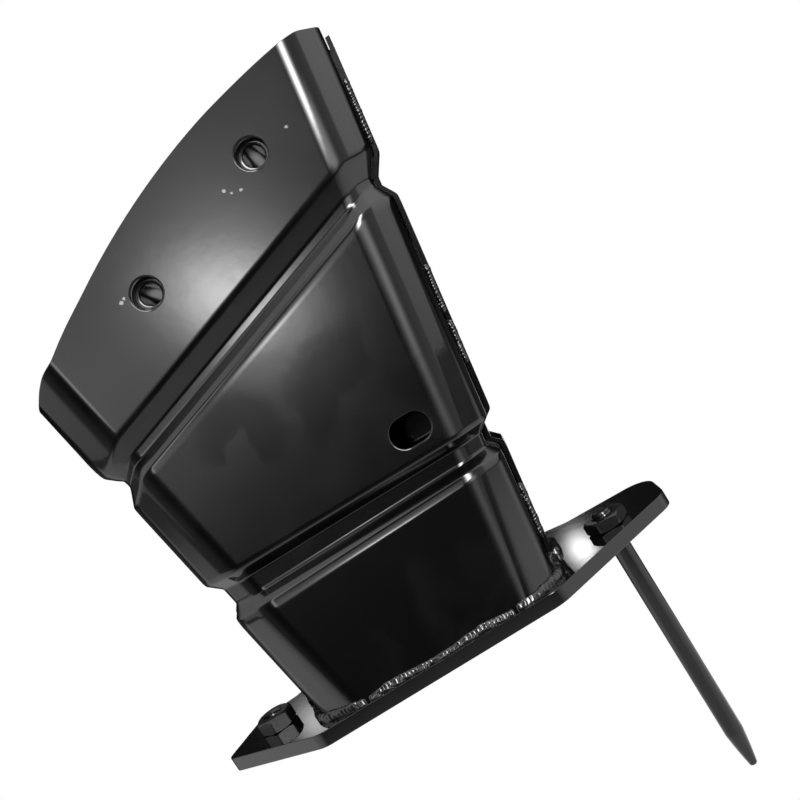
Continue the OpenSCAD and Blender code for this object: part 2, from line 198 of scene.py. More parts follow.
def row_z(kind, t, x, y):
    """Height of a row at x, y."""
    if kind == FOOT:
        return y * TAN_LEAN + 0.05
    if kind == OPEN_END:
        return open_end(x)
    bead_x = np.clip(x, *BEAD_X_RANGE)
    rise = BEAD_RISE * np.maximum(0, y - BEAD_RISE_START)
    lower, lower_top = (z + slope * bead_x for z, slope in LOWER_EDGES)
    drop = UPPER_DROP * smooth((-bead_x - DROP_START) / DROP_LENGTH)
    upper, upper_top = (z + slope * bead_x - drop for z, slope in UPPER_EDGES)
    if kind == LOWER_PANEL:
        return y * TAN_LEAN + (lower + rise - y * TAN_LEAN) * t
    if kind == LOWER_BEAD:
        return rise + lower + (lower_top - lower) * t
    if kind == MIDDLE_PANEL:
        return rise + lower_top + (upper - lower_top) * t
    if kind == UPPER_BEAD:
        return rise + upper + (upper_top - upper) * t
    return rise + upper_top + (open_end(x) - rise - upper_top) * t


def half_section(offset, lip_y, n_wall=8, n_side=16, n_flat=3, n_fold=20):
    """(inset, depth) stations from the free edge of the side wall to the flat face.
    offset shifts the section into the box."""
    tan_c, slant = math.tan(CHAMFER), offset / math.cos(CHAMFER)
    fold_r, side_r = max(FOLD_RADIUS - offset, 0.9), max(SIDE_RADIUS - offset, 1.6)
    fold_corner = BAND + (slant - offset) / tan_c
    side_corner = (BAND - offset) * tan_c + slant
    fold_c = (fold_corner + fold_r * math.tan(CHAMFER / 2), offset + fold_r)
    side_c = (offset + side_r, side_corner + side_r * math.tan((math.pi / 2 - CHAMFER) / 2))

    def arc(centre, radius, start, end, n):
        angles = [start + (end - start) * i / n for i in range(n + 1)]
        return [(centre[0] + radius * math.cos(a), centre[1] + radius * math.sin(a))
                for a in angles]

    chamfer_angle = 1.5 * math.pi - CHAMFER
    points = [(offset, lip_y + (side_c[1] - lip_y) * i / n_wall) for i in range(n_wall)]
    points += arc(side_c, side_r, math.pi, chamfer_angle, n_side)
    fold = arc(fold_c, fold_r, chamfer_angle, 1.5 * math.pi, n_fold)
    (x0, y0), (x1, y1) = points[-1], fold[0]
    points += [(x0 + (x1 - x0) * i / (n_flat + 1), y0 + (y1 - y0) * i / (n_flat + 1))
               for i in range(1, n_flat + 1)]
    return np.array(points + fold)


FLAT_FROM = float(half_section(0.0, 40.0)[-1, 0])       # inset where the flat face starts


def side_points(kind, t, side, inset, y, lap):
    """One side of a row; x and z depend on each other and are settled in turns."""
    def x_at(z):
        x = wall_x(side, z, lap) - side * inset
        if side < 0:                # only the outer edge takes the whole kick
            x = x + kick(z) * smooth((inset - 1) / 12)
        return x
    z = np.full_like(inset, 100.0)
    for _ in range(9):
        z = row_z(kind, t, x_at(z), y)
    return np.stack([x_at(z), y, z], -1)


def row_points(kind, t, offset, lap, lip_y, rear, n_face=22):
    """A row from the left lip, over the face, to the right lip."""
    section = half_section(offset, lip_y)
    y = DEPTH - section[:, 1] if rear else section[:, 1]
    left = side_points(kind, t, LEFT, section[:, 0], y, lap)
    right = side_points(kind, t, RIGHT, section[::-1, 0], y[::-1], lap)
    fraction = np.arange(1, n_face + 1) / (n_face + 1)
    x = left[-1, 0] + (right[0, 0] - left[-1, 0]) * fraction
    face_y = np.full_like(x, DEPTH - offset if rear else offset)
    face = np.stack([x, face_y, row_z(kind, t, x, face_y)], -1)
    return np.concatenate([left, face, right])


# ------------------------------------------------------------------ mesh helpers
def link_object(name, mesh):
    ob = bpy.data.objects.new(name, mesh)
    bpy.context.scene.collection.objects.link(ob)
    return ob


def mesh_object(name, verts, faces):
    """verts in metres, part frame."""
    mesh = bpy.data.meshes.new(name)
    bm = bmesh.new()
    bm_verts = [bm.verts.new(v) for v in verts]
    for face in faces:
        bm.faces.new([bm_verts[i] for i in face])
    bmesh.ops.recalc_face_normals(bm, faces=bm.faces)
    bm.to_mesh(mesh)
    bm.free()
    return link_object(name, mesh)


def tube_faces(n_rings, n_around):
    """Quads between rings of points, closed around each ring."""
    faces = []
    for j in range(n_rings - 1):
        for i in range(n_around):
            a, b = j * n_around + i, j * n_around + (i + 1) % n_around
            faces.append([a, b, b + n_around, a + n_around])
    return faces


def apply_all(ob):
    depsgraph = bpy.context.evaluated_depsgraph_get()
    mesh = bpy.data.meshes.new_from_object(ob.evaluated_get(depsgraph),
                                           preserve_all_data_layers=True, depsgraph=depsgraph)
    ob.modifiers.clear()
    old = ob.data
    ob.data = mesh
    mesh.name = ob.name
    bpy.data.meshes.remove(old)


def cut(ob, cutters):
    for cutter in cutters:
        mod = ob.modifiers.new("cut", "BOOLEAN")
        mod.operation, mod.solver, mod.object = "DIFFERENCE", "EXACT", cutter
    apply_all(ob)
    for cutter in cutters:
        bpy.data.objects.remove(cutter, do_unlink=True)


def clean(ob, dist=2e-5):
    bm = bmesh.new()
    bm.from_mesh(ob.data)
    bmesh.ops.remove_doubles(bm, verts=bm.verts, dist=dist)
    bmesh.ops.dissolve_degenerate(bm, edges=bm.edges, dist=dist / 2)
    bmesh.ops.recalc_face_normals(bm, faces=bm.faces)
    bm.to_mesh(ob.data)
    bm.free()


def round_edges(ob, width, angle, segments):
    mod = ob.modifiers.new("edge", "BEVEL")
    mod.width, mod.segments = width * MM, segments
    mod.limit_method, mod.angle_limit = "ANGLE", math.radians(angle)
    mod.use_clamp_overlap = True
    mod.miter_outer = "MITER_ARC"
    apply_all(ob)


def merge_flat_cells(ob):
    """Merge coplanar cells so panels shade truly flat and the openings cut cleanly."""
    bm = bmesh.new()
    bm.from_mesh(ob.data)
    bmesh.ops.dissolve_limit(bm, angle_limit=math.radians(0.04), use_dissolve_boundaries=False,
                             verts=bm.verts, edges=bm.edges, delimit={"NORMAL"})
    bm.to_mesh(ob.data)
    bm.free()


def roll_over(ob, size):
    """Round the punched edges on the flat front face, as a die leaves them."""
    outward = Vector((0, -COS_LEAN, SIN_LEAN))
    bm = bmesh.new()
    bm.from_mesh(ob.data)
    bm.normal_update()
    picked = []
    for edge in bm.edges:
        if len(edge.link_faces) != 2:
            continue
        facing = [face.normal.dot(outward) for face in edge.link_faces]
        if max(facing) > 0.999 and abs(min(facing)) < 0.08:
            mid = (edge.verts[0].co + edge.verts[1].co) / 2 * 1000
            box_z = (mid.y - PLATE_Y) * SIN_LEAN + (mid.z - PLATE_T) * COS_LEAN
            nearest = min(math.hypot(mid.x - x, box_z - z) for x, z in (HOLE_RIGHT, HOLE_LEFT, SLOT))
            if nearest < ROLL_REACH:
                picked.append(edge)
    bmesh.ops.bevel(bm, geom=picked, offset=size * MM, segments=6, profile=0.5,
                    affect="EDGES", clamp_overlap=False)
    bm.to_mesh(ob.data)
    bm.free()


def finish_shading(ob, sharp=40, weighted=True):
    for polygon in ob.data.polygons:
        polygon.use_smooth = True
    ob.data.set_sharp_from_angle(angle=math.radians(sharp))
    if weighted:
        mod = ob.modifiers.new("normals", "WEIGHTED_NORMAL")
        mod.mode, mod.weight, mod.keep_sharp = "FACE_AREA", 60, True
    return ob


def prism(name, low_end, high_end):
    """Closed prism between two matching outlines, part frame metres."""
    n = len(low_end)
    faces = [list(range(n)), list(range(2 * n - 1, n - 1, -1))]
    faces += [[i, (i + 1) % n, n + (i + 1) % n, n + i] for i in range(n)]
    return mesh_object(name, np.concatenate([low_end, high_end]), faces)


def box_cutter(outline, y0, y1):
    """Prism along box y, outline as (x, z)."""
    return prism("cutter", *(to_part([(x, y, z) for x, z in outline]) for y in (y0, y1)))


def upright_prism(name, outline, z0, z1):
    """Prism along part z, outline as (x, y)."""
    return prism(name, *(np.array([(x, y, z) for x, y in outline]) * MM for z in (z0, z1)))


def circle(cx, cy, radius, n=96, start=0.013):
    angles = [2 * math.pi * i / n + start for i in range(n)]
    return [(cx + radius * math.cos(a), cy + radius * math.sin(a)) for a in angles]


def stadium(cx, cz, width, length, n=40):
    half, radius, points = (length - width) / 2, width / 2, []
    for side, start in ((RIGHT, -90), (LEFT, 90)):
        for i in range(n + 1):
            a = math.radians(start + 180 * i / n)
            points.append((cx + side * half + radius * math.cos(a), cz + radius * math.sin(a)))
    return points


# ------------------------------------------------------------------ shells
def shell(name, rear):
    lip_y = DEPTH - LAP_START if rear else LAP_START + LAP_LENGTH
    lap = LAP_STEP if rear else 0.0
    rings = []
    for kind, steps in ROW_STEPS:
        for t in steps:
            inset = bead_inset(kind, t)
            outer = row_points(kind, t, inset, lap, lip_y, rear)
            inner = row_points(kind, t, inset + SHEET, lap, lip_y, rear)
            rings.append(np.concatenate([outer, inner[::-1]]))
    rings = np.array(rings)
    n_rows, n_around, _ = rings.shape
    faces = tube_faces(n_rows, n_around)
    for j in (0, n_rows - 1):                           # close the sheet edge at both ends
        first = j * n_around
        for i in range(n_around // 2 - 1):
            face = [first + i, first + i + 1,
                    first + n_around - 2 - i, first + n_around - 1 - i]
            faces.append(face if j else face[::-1])
    ob = mesh_object(name, to_part(rings.reshape(-1, 3)), faces)
    merge_flat_cells(ob)
    if rear:
        cutters = [box_cutter(circle(*c, SLEEVE_BORE / 2), DEPTH - 6, DEPTH + 6)
                   for c in (HOLE_RIGHT, HOLE_LEFT)]
    else:
        cutters = [box_cutter(circle(*c, HOLE_D / 2), -4, 9) for c in (HOLE_RIGHT, HOLE_LEFT)]
        cutters.append(box_cutter(stadium(*SLOT, SLOT_WIDTH, SLOT_LENGTH), -4, 7))
    cut(ob, cutters)
    clean(ob)
    if not rear:
        roll_over(ob, ROLL_OVER)
    round_edges(ob, width=0.42, angle=55, segments=3)
    clean(ob, 4e-6)
    return finish_shading(ob)


# ------------------------------------------------------------------ base plate
def rounded_outline(n=14):
    """Plate outline with every corner turned into an arc of n steps."""
    points, count = [], len(PLATE_CORNERS)
    for i in range(count):
        before, corner, after = (np.array(PLATE_CORNERS[(i + j) % count][:2], float)
                                 for j in (-1, 0, 1))
        radius = PLATE_CORNERS[i][2]
        to_before = (before - corner) / np.linalg.norm(before - corner)
        to_after = (after - corner) / np.linalg.norm(after - corner)
        half = math.acos(float(to_before @ to_after)) / 2
        tangent = radius / math.tan(half)
        bisector = (to_before + to_after) / np.linalg.norm(to_before + to_after)
        centre = corner + bisector * (radius / math.sin(half))
        start = math.atan2(*(corner + to_before * tangent - centre)[::-1])
        sweep = math.atan2(*(corner + to_after * tangent - centre)[::-1]) - start
        if sweep > math.pi:
            sweep -= 2 * math.pi
        elif sweep < -math.pi:
            sweep += 2 * math.pi
        for j in range(n + 1):
            a = start + sweep * j / n
            points.append(centre + radius * np.array([math.cos(a), math.sin(a)]))
    return np.array(points)


def base_plate():
    outline = rounded_outline() + np.array([0, PLATE_Y])
    ob = upright_prism("base_plate_body", outline, 0, PLATE_T)
    cut(ob, [upright_prism("cutter", circle(*ear, radius), -2, 9)
             for ear, radius in ((EAR_LEFT, EAR_LEFT_R), (EAR_RIGHT, EAR_RIGHT_R))])
    clean(ob)
    round_edges(ob, width=0.75, angle=50, segments=4)
    return finish_shading(ob, 35)


# ------------------------------------------------------------------ turned parts
def turned(name, centre, profile, n=96, in_box=False, reshape=None):
    """Closed body of revolution about z, or about box y if in_box. profile is (r, z)
    from bottom pole to top pole, or a closed loop when its first r is not 0.
    reshape(r, z, angle, station) gives a changed (r, z)."""
    points, rows = [], []
    for j, (r, z) in enumerate(profile):
        if r < 1e-6:
            rows.append([len(points)] * n)
            points.append((0.0, 0.0, z))
            continue
        row = []
        for i in range(n):
            a = 2 * math.pi * i / n
            new_r, new_z = reshape(r, z, a, j) if reshape else (r, z)
            row.append(len(points))
            points.append((new_r * math.cos(a), new_r * math.sin(a), new_z))
        rows.append(row)
    faces = []
    count = len(profile)
    for j in range(count if profile[0][0] > 1e-6 else count - 1):
        low, high = rows[j], rows[(j + 1) % count]
        for i in range(n):
            k = (i + 1) % n
            face = list(dict.fromkeys([low[i], low[k], high[k], high[i]]))
            if len(face) > 2:
                faces.append(face)
    points = np.array(points)
    if in_box:
        verts = to_part(np.stack([points[:, 0] + centre[0], points[:, 2] + centre[1],
                                  -points[:, 1] + centre[2]], -1))
    else:
        verts = (points + np.array(centre)) * MM
    return mesh_object(name, verts, faces)


def thread_wave(z, angle):
    """Triangle wave 0..1 that climbs one pitch per turn."""
    u = z / THREAD_PITCH - angle / (2 * math.pi)
    u = u - math.floor(u)
    return 1 - abs(2 * u - 1)


def guide_pin():
    top = PLATE_T + NUT_RIGHT["height"] + PIN_PROUD
    shoulder = PIN_TIP + NOSE_LENGTH
    thread_from, thread_depth = 5.4, 0.52
    profile = []
    for i in range(9):                                   # rounded nose
        a = math.pi / 2 * i / 8
        profile.append((NOSE_R * math.sin(a), shoulder - NOSE_LENGTH * math.cos(a)))
    for i in range(1, 25):                               # slightly bulged taper
        t = i / 24
        profile.append((NOSE_R + (PIN_R - NOSE_R) * t + TAPER_BULGE * math.sin(math.pi * t),
                        shoulder + TAPER_LENGTH * t))
    profile += [(PIN_R, z) for z in np.linspace(-95.6, -2.3, 60)]
    profile += [(PIN_R, -2.2), (4.06, -2.0), (4.19, -1.6)]          # step to thread size
    profile += [(PIN_THREAD_R, z) for z in (-1.4, -0.7, 0.2)]
    z = 0.4
    while z < top - 0.95:
        profile.append((PIN_THREAD_R, z))
        z += THREAD_PITCH / 10
    profile += [(PIN_THREAD_R - inset, top - down)
                for inset, down in ((0.35, 0.55), (0.75, 0.12), (0.95, 0), (1.6, 0))]
    profile += [(1.0, top - 0.02), (0, top - 0.02)]

    def reshape(r, z, a, j):
        if z > thread_from and r > 4.0:
            depth = min(1.0, (z - thread_from) / 1.2) * (1.0 if z < top - 0.9 else 0.4)
            return r - thread_depth * depth * thread_wave(z, a), z
        if z < -2.3 and r > 3.9:                         # shank a hair out of round
            return r + 0.012 * math.sin(3 * a + z * 0.11) + 0.008 * math.sin(z * 0.9), z
        return r, z
    ob = turned("guide_pin_body", (*EAR_RIGHT, 0), profile, 120, reshape=reshape)
    return finish_shading(ob, 50, weighted=False)


def hex_radius(angle, apothem, corner_radius=0.45, blend=0.05):
    """Polar radius of a hexagon with flats at 30 + 60k degrees and rounded corners."""
    from_flat = (math.degrees(angle) % 60) - 30
    flat = apothem / math.cos(math.radians(from_flat))
    limit = apothem / math.cos(math.radians(30)) - 0.155 * corner_radius
    return -blend * math.log(math.exp(-flat / blend) + math.exp(-limit / blend))


def hex_nut(name, ear, flats, height, bore, turn):
    apothem, bore_r = flats / 2, bore / 2
    face_r = apothem * 0.955                             # where the corner chamfer starts
    slope = math.tan(math.radians(30))
    thread_depth = 0.5
    # stations: kind, r, z; chamfers and sides hold a fraction in place of r
    stations = [("plain", bore_r + 0.62, 0.0), ("plain", bore_r + 0.1, 0.5)]
    z = 0.55
    while z < height - 0.6:
        stations.append(("thread", bore_r, z))
        z += THREAD_PITCH / 12
    stations += [("plain", bore_r + 0.1, height - 0.6)]
    stations += [("plain", r, height)
                 for r in (bore_r + 0.8, bore_r + 1.05, face_r - 0.35, face_r - 0.05)]
    stations += [("top", t, height) for t in (0.0, 0.25, 0.5, 0.75, 0.97, 1.0)]
    stations += [("side", t, 0) for t in (0.03, 0.5, 0.97)]
    stations += [("bottom", t, 0) for t in (1.0, 0.97, 0.5, 0.0)]
    stations += [("plain", face_r - 0.3, 0.0)]

    def reshape(r, z, a, j):
        kind = stations[j][0]
        if kind == "plain":
            return r, z
        if kind == "thread":                             # fades out at both ends
            fade = max(0.0, min(1.0, (z - 0.5) / 0.8, (height - 0.55 - z) / 0.8))
            return r + thread_depth * fade * thread_wave(z, a), z
        hex_r = hex_radius(a - math.radians(turn), apothem)
        chamfer_r = face_r + (hex_r - face_r) * r
        if kind == "top":
            return chamfer_r, height - (chamfer_r - face_r) * slope
        if kind == "bottom":
            return chamfer_r, (chamfer_r - face_r) * slope * 0.8
        z_top = height - (hex_r - face_r) * slope
        z_bottom = (hex_r - face_r) * slope * 0.8
        return hex_r, z_top + (z_bottom - z_top) * r
    profile = [(max(r, 1e-3), z) for _, r, z in stations]
    ob = turned(name, (*ear, PLATE_T + NUT_GAP), profile, 180, reshape=reshape)
    return finish_shading(ob, 28, weighted=False)


def sleeve(name, hole):
    bore_r, outer_r = SLEEVE_BORE / 2, SLEEVE_OD / 2
    length = DEPTH - SHEET - SLEEVE_SET - 0.05
    edge = 0.45                                          # edge rounding
    mid_z = np.linspace(edge + 2, length - edge - 2, 12)
    profile = [(bore_r + edge, 0), (bore_r + edge * 0.3, edge * 0.3), (bore_r, edge)]
    profile += [(bore_r, z) for z in mid_z]
    profile += [(bore_r, length - edge), (bore_r + edge * 0.3, length - edge * 0.3),
                (bore_r + edge, length), (outer_r - edge, length),
                (outer_r - edge * 0.3, length - edge * 0.3), (outer_r, length - edge)]
    profile += [(outer_r, z) for z in mid_z[::-1]]
    profile += [(outer_r, edge), (outer_r - edge * 0.3, edge * 0.3), (outer_r - edge, 0)]
    ob = turned(name, (hole[0], SLEEVE_SET, hole[1]), profile, in_box=True)
    return finish_shading(ob, 40, weighted=False)


# ------------------------------------------------------------------ weld beads
def hash01(i, seed=0):
    v = math.sin(i * 12.9898 + seed * 78.233) * 43758.5453
    return v - math.floor(v)


def value_noise(x, seed=0):
    i, f = math.floor(x), x - math.floor(x)
    f = f * f * (3 - 2 * f)
    return hash01(i, seed) * (1 - f) + hash01(i + 1, seed) * f


def weld_bead(name, path, width, height, *, pitch, taper, ripple, seed, bulge=0.32, in_box=False):
    """Fillet bead. path: (corner point, outward direction, wall direction). width and
    height are functions of the fraction along it; taper is the length of the run-outs."""
    step, n_arc = 0.25, 15
    root = 0.02                                          # lift of the bead off the corner
    corners, outwards, walls = (np.array([p[k] for p in path], float) for k in range(3))
    along = np.concatenate([[0], np.cumsum(np.linalg.norm(np.diff(corners, axis=0), axis=1))])
    length = along[-1]
    n_steps = max(8, int(length / step))
    stations = np.linspace(0, length, n_steps + 1)

    def resample(values):
        return np.stack([np.interp(stations, along, values[:, c]) for c in range(3)], -1)
    corners, outwards, walls = resample(corners), resample(outwards), resample(walls)
    outwards /= np.linalg.norm(outwards, axis=1)[:, None]
    walls /= np.linalg.norm(walls, axis=1)[:, None]
    rings = []
    for s, corner, outward, wall in zip(stations, corners, outwards, walls):
        end = min(s, length - s)
        swell = math.sqrt(max(0.0, 1 - (1 - min(1.0, end / taper)) ** 2)) if end < taper else 1.0
        swell = 0.12 + 0.88 * swell
        # legs wander slowly by up to 8 percent
        w = width(s / length) * swell * (1 + 0.16 * (value_noise(s / 3.1, seed) - 0.5))
        h = height(s / length) * swell * (1 + 0.16 * (value_noise(s / 2.7, seed + 3) - 0.5))
        ring = [corner + outward * root + wall * root]
        for i in range(n_arc):
            f = i / (n_arc - 1)
            angle = math.pi / 2 * f
            crown = math.sin(math.pi * f)
            # crescent ripples: the phase lags towards the toes
            phase = (s + 0.55 * pitch * (1 - crown)
                     + 1.3 * pitch * value_noise(s / 5.3, seed + 9)) / pitch
            index = math.floor(phase)
            wave = phase - index
            wave = (wave ** 0.7) * float(1 - smooth((wave - 0.72) / 0.28))
            wave *= 0.35 + 0.9 * hash01(index, seed + 1)
            size = 1 + bulge * crown + ripple * 0.62 * (wave - 0.3) * (0.2 + crown)
            size += 0.12 * (value_noise(s / 1.9 + 7 * f, seed + 21) - 0.5)
            # section between a straight chord and a round quadrant
            chord, quadrant = np.array([1 - f, f]), np.array([math.cos(angle), math.sin(angle)])
            q = chord * 0.55 + quadrant * 0.45
            ring.append(corner + outward * (root + w * q[0] * size)
                        + wall * (root + h * q[1] * size))
        rings.append(ring)
    rings = np.array(rings)
    n_rings, n_around, _ = rings.shape
    faces = tube_faces(n_rings, n_around)
    faces.append(list(range(n_around)))
    faces.append(list(range((n_rings - 1) * n_around, n_rings * n_around))[::-1])
    points = rings.reshape(-1, 3)
    ob = mesh_object(name, to_part(points) if in_box else points * MM, faces)
    return finish_shading(ob, 70, weighted=False)


def join(obs, name):
    bm = bmesh.new()
    for ob in obs:
        bm.from_mesh(ob.data)
    mesh = bpy.data.meshes.new(name)
    bm.to_mesh(mesh)
    bm.free()
    for ob in obs:
        bpy.data.objects.remove(ob, do_unlink=True)
    return finish_shading(link_object(name, mesh), 70, weighted=False)


def foot(x, y):
    """Foot of the shell on the plate top, part frame millimetres."""
    return np.array([x, y / COS_LEAN + PLATE_Y, PLATE_T])


def wall_up(angle):
    """Direction up the shell wall that faces the given angle in plan."""
    flare = RIGHT_FLARE if math.cos(angle) > 0 else LEFT_FLARE
    v = np.array([flare * math.cos(angle), TAN_LEAN, 1.0])
    return v / np.linalg.norm(v)


def flat_span(z, lap=0.0, margin=0.6):
    """x range of the flat face at height z."""
    return (wall_x(LEFT, z, lap) + FLAT_FROM + margin,
            wall_x(RIGHT, z, lap) - FLAT_FROM - margin)


def front_weld():
    x0, x1 = flat_span(0.0)
    path = [(foot(x, -0.03), (0, -1, 0), wall_up(-math.pi / 2)) for x in np.linspace(x0, x1, 60)]

    def height(t):
        x = x0 + (x1 - x0) * t
        return 2.1 * (1 + sum(extra * math.exp(-((x - at) / spread) ** 2)
                              for at, spread, extra in FRONT_LUMPS))
    return weld_bead("base_weld_front_bead", path, lambda t: 1.3, height,
                     pitch=1.6, taper=1.5, ripple=0.2, seed=2)


def corner_weld(side, name):
    section = half_section(0.0, LAP_START - 0.4, 6, 16, 3, 14)[::-1]
    path = []
    for i, (inset, y) in enumerate(section):
        x = wall_x(side, y * TAN_LEAN) - side * inset
        # facing direction from the section's own tangent
        tangent = section[min(len(section) - 1, i + 1)] - section[max(0, i - 1)]
        normal = np.array([-tangent[1], tangent[0]])
        normal = normal / np.linalg.norm(normal)
        angle = math.atan2(-abs(normal[1]), side * abs(normal[0]))
        outward = np.array([math.cos(angle), math.sin(angle), 0.0])
        path.append((foot(x, y) + outward * 0.05, outward, wall_up(angle)))
    return weld_bead(name, path, lambda t: 1.3 + 1.9 * min(1, t * 1.6), lambda t: 2.9,
                     pitch=1.7, taper=1.8, ripple=0.24, seed=5 + side)


def side_weld(side, name):
    path = []
    for y in np.linspace(LAP_START + 0.5, DEPTH - 17, 24):
        x = wall_x(side, y * TAN_LEAN, LAP_STEP)
        path.append((foot(x, y) + np.array([side * 0.06, 0, 0]), (side, 0, 0),
                     wall_up(math.pi if side < 0 else 0)))
    return weld_bead(name, path, lambda t: 3.0, lambda t: 3.1,
                     pitch=1.8, taper=2.0, ripple=0.22, seed=11 + side)


def rear_weld():
    path = [(foot(x, DEPTH) + np.array([0, 0.06, 0]), (0, 1, 0), wall_up(math.pi / 2))
            for x in np.linspace(*flat_span(DEPTH * TAN_LEAN, LAP_STEP), 50)]
    return weld_bead("base_weld_rear_bead", path, lambda t: 2.9, lambda t: 2.9,
                     pitch=1.8, taper=2.2, ripple=0.22, seed=17)


def seam_run(side, z0, z1, reach, seed):
    path = [((wall_x(side, z) + side * 0.05, LAP_START - 0.03, z), (0, -1, 0), (side, 0, 0))
            for z in np.linspace(z0, z1, 24)]
    return weld_bead("seam", path, lambda t: reach, lambda t: LAP_STEP * 0.86,
                     pitch=1.5, taper=2.4, ripple=0.24, seed=seed, bulge=0.5, in_box=True)


def seam_welds(side, runs, name):
    return join([seam_run(side, *run, 23 + 3 * i + side) for i, run in enumerate(runs)], name)


# ------------------------------------------------------------------ shader graphs
class Graph:
    """Shader node builder: sockets passed as values are linked, plain values are set."""

    def __init__(self, owner):
        owner.use_nodes = True
        self.nodes, self.links = owner.node_tree.nodes, owner.node_tree.links
        self.nodes.clear()

    def node(self, kind, **settings):
        node = self.nodes.new(kind)
        for key, value in settings.items():
            setattr(node, key, value)
        return node

    def feed(self, node, inputs):
        """inputs: socket name or index to value."""
        for key, value in inputs.items():
            if isinstance(value, bpy.types.NodeSocket):
                self.links.new(value, node.inputs[key])
            else:
                node.inputs[key].default_value = value
        return node

    def math(self, operation, *values, clamp=False):
        node = self.node("ShaderNodeMath", operation=operation, use_clamp=clamp)
        return self.feed(node, dict(enumerate(values))).outputs[0]

    def vector(self, operation, a, b):
        node = self.node("ShaderNodeVectorMath", operation=operation)
        return self.feed(node, {0: a, 1: tuple(float(q) for q in b)}).outputs["Value"]

    def ramp(self, value, span, to=(0.0, 1.0)):
        """Smooth step across span, giving to[0]..to[1]."""
        node = self.node("ShaderNodeMapRange", interpolation_type="SMOOTHSTEP")
        return self.feed(node, dict(enumerate((value, *span, *to)))).outputs[0]

    def noise(self, coords, scale, detail, roughness, distortion=0.0):
        node = self.node("ShaderNodeTexNoise")
        return self.feed(node, {"Scale": scale, "Detail": detail, "Roughness": roughness,
                                "Distortion": distortion, "Vector": coords}).outputs["Fac"]

    def mix(self, factor, a, b):
        """Colour mix; sockets 6 and 7 are its colour inputs."""
        node = self.node("ShaderNodeMix", data_type="RGBA")
        return self.feed(node, {6: a, 7: b, 0: factor}).outputs[2]

    def output(self, kind, reflected, seen):
        """Give camera rays the seen shader and all other rays the reflected one."""
        is_camera = self.node("ShaderNodeLightPath").outputs["Is Camera Ray"]
        mix = self.feed(self.node("ShaderNodeMixShader"), {0: is_camera, 1: reflected, 2: seen})
        self.feed(self.node(kind), {0: mix.outputs[0]})


# ------------------------------------------------------------------ coatings
def relief(g, coords, fine, peel, wave, texture, turn):
    """Surface height in metres."""
    def layer(height, source, metres):
        return g.math("ADD", height, g.math("MULTIPLY", source, metres))
    # dust nibs: small dots in a few cells
    cells = g.feed(g.node("ShaderNodeTexVoronoi", feature="F1"),
                   {"Scale": 95, "Randomness": 1.0, "Vector": coords})
    pick = g.feed(g.node("ShaderNodeSeparateColor"), {0: cells.outputs["Color"]}).outputs[0]
    nibs = g.math("MULTIPLY", g.ramp(cells.outputs["Distance"], span=(0.035, 0.02)),
                  g.ramp(pick, span=(0.93, 0.96)))
    small_peel = g.noise(coords, scale=430, detail=2, roughness=0.45)
    wide_peel = g.noise(coords, scale=140, detail=1.5, roughness=0.4)
    waviness = g.noise(coords, scale=16, detail=1.0, roughness=0.4)
    height = g.math("MULTIPLY", small_peel, 2.2e-6 * peel)
    height = layer(height, wide_peel, 6.0e-6 * peel)
    height = layer(height, waviness, 5.0e-5 * wave)
    height = layer(height, nibs, 3.5e-5)
    height = layer(height, fine, 4e-7)
    if texture:
        grain = g.noise(coords, scale=1500, detail=4, roughness=0.65)
        height = layer(height, grain, 2.2e-5 * texture)
        lumps = g.noise(coords, scale=520, detail=3, roughness=0.55)
        height = layer(height, lumps, 6.0e-5 * texture)
    if turn:
        spacing = 0.0006
        z = g.feed(g.node("ShaderNodeSeparateXYZ"), {0: coords}).outputs[2]
        marks = g.math("SINE", g.math("MULTIPLY", z, 2 * math.pi / spacing))
        height = layer(height, marks, 1.2e-6 * turn)
    return height


